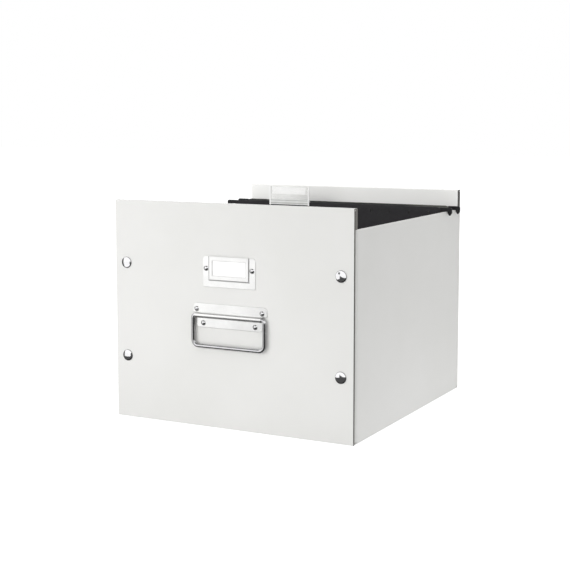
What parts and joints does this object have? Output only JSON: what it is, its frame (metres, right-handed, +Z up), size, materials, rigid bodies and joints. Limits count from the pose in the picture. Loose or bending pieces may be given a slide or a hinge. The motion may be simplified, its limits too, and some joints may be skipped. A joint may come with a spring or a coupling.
{
  "type": "cardboard storage box",
  "caption": "Open-topped white board storage box for hanging files, with press-studded folding ends, label holder, bail handle and a black suspension file with index tab.",
  "frame": {"origin": "centre of the box's footprint, on the surface it stands on (underside of the bottom panel)", "axes": "+X to the right seen from the front, +Y from the handle end to the rear, +Z up"},
  "size_m": [0.3553, 0.3698, 0.2832],
  "materials": {
    "laminated_board": "white matt laminate over grey board, cut edges bare",
    "polished_steel": "polished",
    "plated_steel": "plated, satin",
    "nickel_plate": "bright nickel",
    "chrome_wire": "polished",
    "white_card": "uncoated white card",
    "black_card": "dyed black card",
    "black_steel": "black lacquer",
    "black_plastic": "moulded, satin",
    "clear_plastic": "clear, gloss"
  },
  "bodies": {
    "root": {"bottom_panel": "laminated_board", "left_side_panel": "laminated_board", "right_side_panel": "laminated_board", "front_left_flap": "laminated_board", "front_right_flap": "laminated_board", "rear_left_flap": "laminated_board", "rear_right_flap": "laminated_board", "front_studs": "plated_steel", "front_stud_posts": "plated_steel", "rear_studs": "plated_steel", "rear_stud_posts": "plated_steel"},
    "front_end": {"front_panel": "laminated_board", "front_rim": "laminated_board", "front_stud_caps": "polished_steel", "front_stud_sockets": "plated_steel", "label_holder": "nickel_plate", "label_holder_rivets": "polished_steel", "handle_plate": "nickel_plate", "handle_rivets": "polished_steel"},
    "rear_end": {"rear_panel": "laminated_board", "rear_rim": "laminated_board", "rear_stud_caps": "polished_steel", "rear_stud_sockets": "plated_steel"},
    "bail": {"bail_handle": "chrome_wire"},
    "label_insert": {"label_card": "white_card"},
    "suspension_file": {"file_card": "black_card", "front_rail": "black_steel", "rear_rail": "black_steel", "front_rail_hooks": "black_plastic", "rear_rail_hooks": "black_plastic", "index_tab": "clear_plastic"},
    "tab_label": {"tab_insert": "white_card"}
  },
  "joints": [
    {"name": "front_end_fold", "type": "hinge", "parent": "root", "child": "front_end", "pos_m": [0, -0.1805, 0], "axis": [1, 0, 0], "range_deg": [0, 86]},
    {"name": "rear_end_fold", "type": "hinge", "parent": "root", "child": "rear_end", "pos_m": [0, 0.1805, 0], "axis": [-1, 0, 0], "range_deg": [0, 88]},
    {"name": "bail_swing", "type": "hinge", "parent": "front_end", "child": "bail", "pos_m": [0, -0.1834, 0.1414], "axis": [-1, 0, 0], "range_deg": [0, 160]},
    {"name": "label_card_slide", "type": "slide", "parent": "front_end", "child": "label_insert", "axis": [0, 0, 1], "range_m": [0, 0.032]},
    {"name": "file_lift", "type": "slide", "parent": "root", "child": "suspension_file", "axis": [0, 0, 1], "range_m": [0, 0.275]},
    {"name": "tab_label_slide", "type": "slide", "parent": "suspension_file", "child": "tab_label", "axis": [-1, 0, 0], "range_m": [0, 0.062]}
  ]
}
